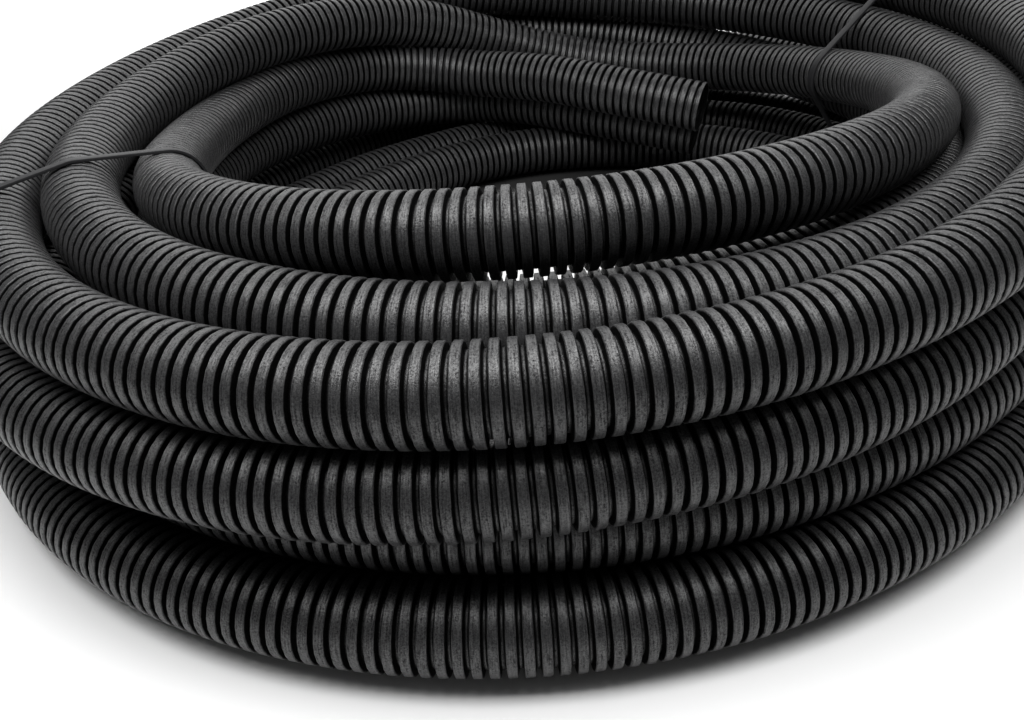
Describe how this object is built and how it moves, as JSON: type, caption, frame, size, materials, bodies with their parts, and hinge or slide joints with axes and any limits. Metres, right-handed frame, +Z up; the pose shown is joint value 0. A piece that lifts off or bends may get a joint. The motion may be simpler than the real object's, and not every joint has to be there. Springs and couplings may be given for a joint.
{
  "type": "coil of flexible corrugated conduit",
  "caption": "Coil of black corrugated flexible electrical conduit, wound in a low open ring, held by two thin cable-tie straps, both cut ends lying open inside the ring.",
  "frame": {"origin": "on the floor under the middle of the ring", "axes": "+Z up, along the coil's axis; the side seen in front faces -Y, with +X to its right; both cut ends lie at the back right"},
  "size_m": [0.4622, 0.462, 0.1033],
  "materials": {
    "conduit_black": "matte black moulded polypropylene with fine grain",
    "strap_black": "smooth black nylon strap, slight sheen"
  },
  "bodies": {
    "root": {"conduit_coil": "conduit_black", "conduit_end_top": "conduit_black", "conduit_end_low": "conduit_black", "strap_left": "strap_black", "strap_back": "strap_black"}
  },
  "joints": []
}
